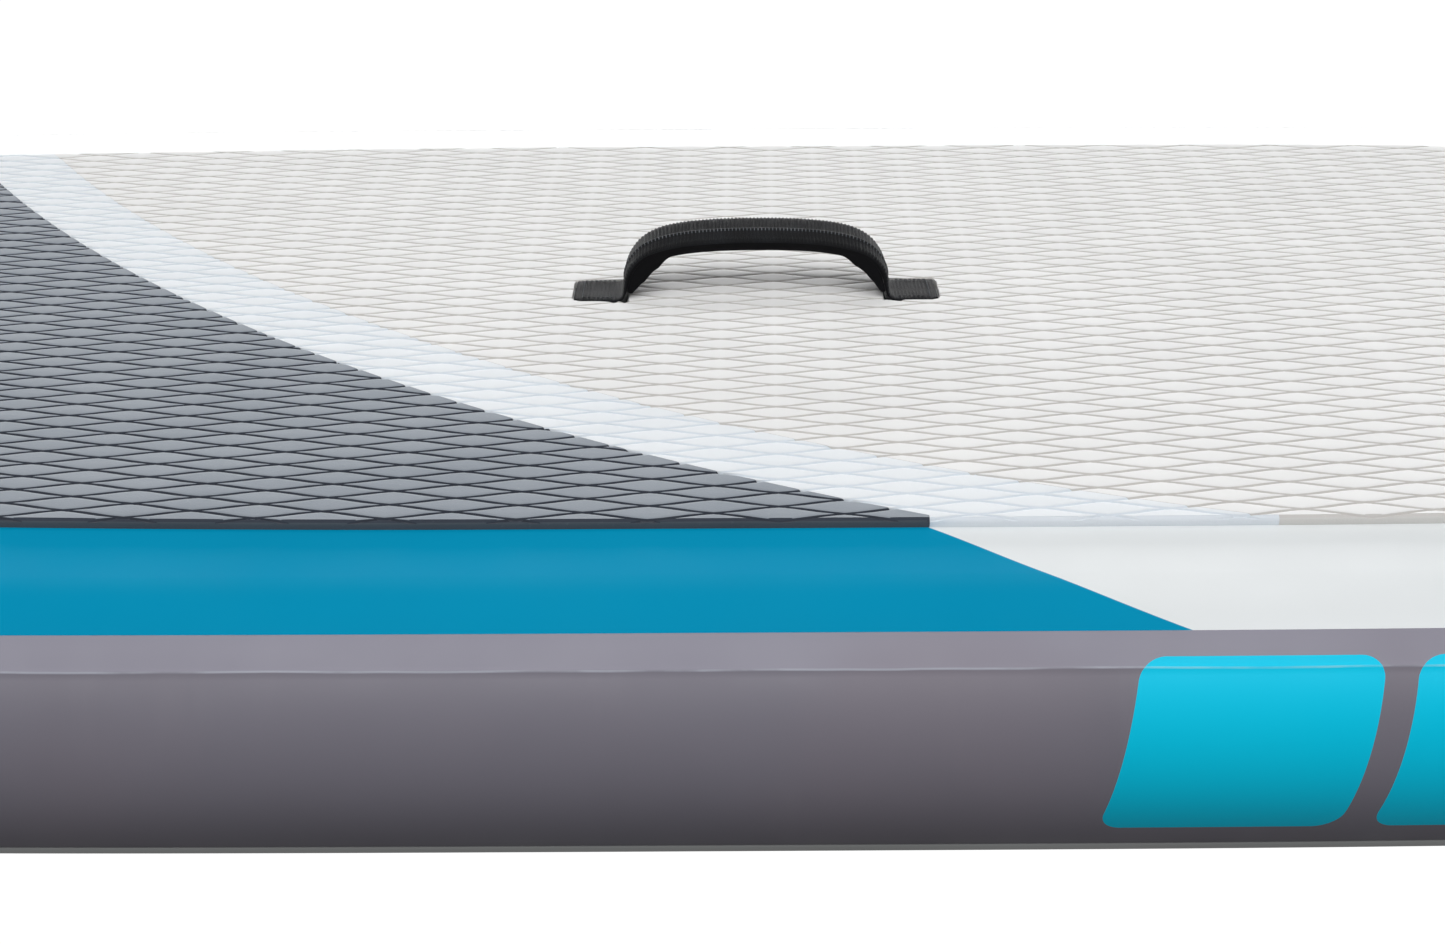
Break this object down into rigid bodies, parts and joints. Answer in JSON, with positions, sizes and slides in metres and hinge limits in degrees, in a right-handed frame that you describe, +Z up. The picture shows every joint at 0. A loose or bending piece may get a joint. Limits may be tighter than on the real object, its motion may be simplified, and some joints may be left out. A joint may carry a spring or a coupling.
{
  "type": "stand up paddleboard",
  "caption": "Inflatable stand up paddleboard with grooved deck pad, carry handle, tie rings, inflation valve and fins.",
  "frame": {"origin": "middle of the flat bottom, halfway along the board", "axes": "+X towards the nose, +Y towards port, +Z up from the bottom to the deck"},
  "size_m": [3.1984, 0.8364, 0.5104],
  "materials": {
    "deck_pvc": "satin blue and white coated fabric",
    "white_pvc": "satin coated fabric",
    "grey_pvc": "satin purplish grey coated fabric",
    "pale_pvc": "satin light grey coated fabric",
    "stitched_fabric": "woven, hidden inside the skins",
    "dark_foam": "matt closed-cell foam with diamond grooves",
    "ice_foam": "matt closed-cell foam with diamond grooves",
    "light_foam": "matt closed-cell foam with diamond grooves",
    "black_pvc": "matt coated fabric",
    "webbing": "ribbed woven webbing",
    "black_foam": "smooth",
    "patch_pvc": "satin coated fabric",
    "stainless": "polished",
    "grey_plastic": "moulded satin",
    "seal_rubber": "smooth",
    "black_plastic": "moulded satin",
    "brass": "turned"
  },
  "bodies": {
    "hull": {"drop_stitch_core": "stitched_fabric", "deck_skin": "deck_pvc", "bottom_skin": "white_pvc", "port_sidewall": "white_pvc", "starboard_sidewall": "white_pvc", "port_rail_tape": "grey_pvc", "starboard_rail_tape": "grey_pvc", "tail_rail_patch": "grey_pvc", "nose_rail_patch": "grey_pvc", "port_bottom_tape": "pale_pvc", "starboard_bottom_tape": "pale_pvc", "tail_pad": "dark_foam", "stripe_pad": "ice_foam", "nose_pad": "light_foam", "handle_tail_patch": "black_pvc", "handle_tail_tab": "webbing", "handle_nose_patch": "black_pvc", "handle_nose_tab": "webbing", "cargo_front_port_patch": "patch_pvc", "cargo_front_port_loop": "webbing", "cargo_front_starboard_patch": "patch_pvc", "cargo_front_starboard_loop": "webbing", "cargo_rear_port_patch": "patch_pvc", "cargo_rear_port_loop": "webbing", "cargo_rear_starboard_patch": "patch_pvc", "cargo_rear_starboard_loop": "webbing", "tow_patch": "patch_pvc", "tow_loop": "webbing", "leash_patch": "patch_pvc", "leash_loop": "webbing", "valve_body": "grey_plastic", "valve_seal": "seal_rubber", "valve_tether": "grey_plastic", "fin_base_pad": "patch_pvc", "fin_box": "black_plastic", "port_side_fin_pad": "patch_pvc", "port_side_fin": "black_plastic", "starboard_side_fin_pad": "patch_pvc", "starboard_side_fin": "black_plastic"},
    "handle": {"handle_strap": "webbing", "handle_padding": "black_foam"},
    "cargo_front_port_ring": {"cargo_front_port_ring": "stainless"},
    "cargo_front_starboard_ring": {"cargo_front_starboard_ring": "stainless"},
    "cargo_rear_port_ring": {"cargo_rear_port_ring": "stainless"},
    "cargo_rear_starboard_ring": {"cargo_rear_starboard_ring": "stainless"},
    "tow_ring": {"tow_ring": "stainless"},
    "leash_ring": {"leash_ring": "stainless"},
    "valve_cap": {"valve_cap": "grey_plastic"},
    "valve_stem": {"valve_stem": "black_plastic"},
    "centre_fin": {"centre_fin": "black_plastic", "fin_pin": "brass", "fin_nut": "stainless"},
    "fin_screw": {"fin_screw": "stainless"}
  },
  "joints": [
    {"name": "handle_lean", "type": "hinge", "parent": "hull", "child": "handle", "pos_m": [0, 0, 0.172], "axis": [1, 0, 0], "range_deg": [-60, 60], "stiffness_Nm_per_rad": 0.25},
    {"name": "cargo_front_port_swing", "type": "hinge", "parent": "hull", "child": "cargo_front_port_ring", "pos_m": [1.17886, 0.12, 0.2126], "axis": [0, -1, 0], "range_deg": [0, 150]},
    {"name": "cargo_front_starboard_swing", "type": "hinge", "parent": "hull", "child": "cargo_front_starboard_ring", "pos_m": [1.17886, -0.12, 0.2126], "axis": [0, -1, 0], "range_deg": [0, 150]},
    {"name": "cargo_rear_port_swing", "type": "hinge", "parent": "hull", "child": "cargo_rear_port_ring", "pos_m": [0.84957, 0.205, 0.16816], "axis": [0, 1, 0], "range_deg": [0, 150]},
    {"name": "cargo_rear_starboard_swing", "type": "hinge", "parent": "hull", "child": "cargo_rear_starboard_ring", "pos_m": [0.84957, -0.205, 0.16816], "axis": [0, 1, 0], "range_deg": [0, 150]},
    {"name": "tow_swing", "type": "hinge", "parent": "hull", "child": "tow_ring", "pos_m": [1.39846, 0, 0.26307], "axis": [0, -1, 0], "range_deg": [0, 150]},
    {"name": "leash_swing", "type": "hinge", "parent": "hull", "child": "leash_ring", "pos_m": [-1.46961, 0, 0.17704], "axis": [0, 1, 0], "range_deg": [0, 150]},
    {"name": "valve_cap_turn", "type": "hinge", "parent": "hull", "child": "valve_cap", "pos_m": [0.98853, 0, 0.18196], "axis": [0, -1, 0], "range_deg": [0, 150]},
    {"name": "valve_stem_press", "type": "slide", "parent": "hull", "child": "valve_stem", "axis": [-0.1355, 0, 0.9908], "range_m": [-0.005, 0], "stiffness_N_per_m": 500, "springref_m": 0.004},
    {"name": "fin_slide", "type": "slide", "parent": "hull", "child": "centre_fin", "axis": [0.9995, 0, -0.0321], "range_m": [-0.04, 0.004]},
    {"name": "fin_screw_turn", "type": "hinge", "parent": "centre_fin", "child": "fin_screw", "pos_m": [-1.0877, 0, -0.01876], "axis": [0.0321, 0, 0.9995], "continuous": true}
  ]
}
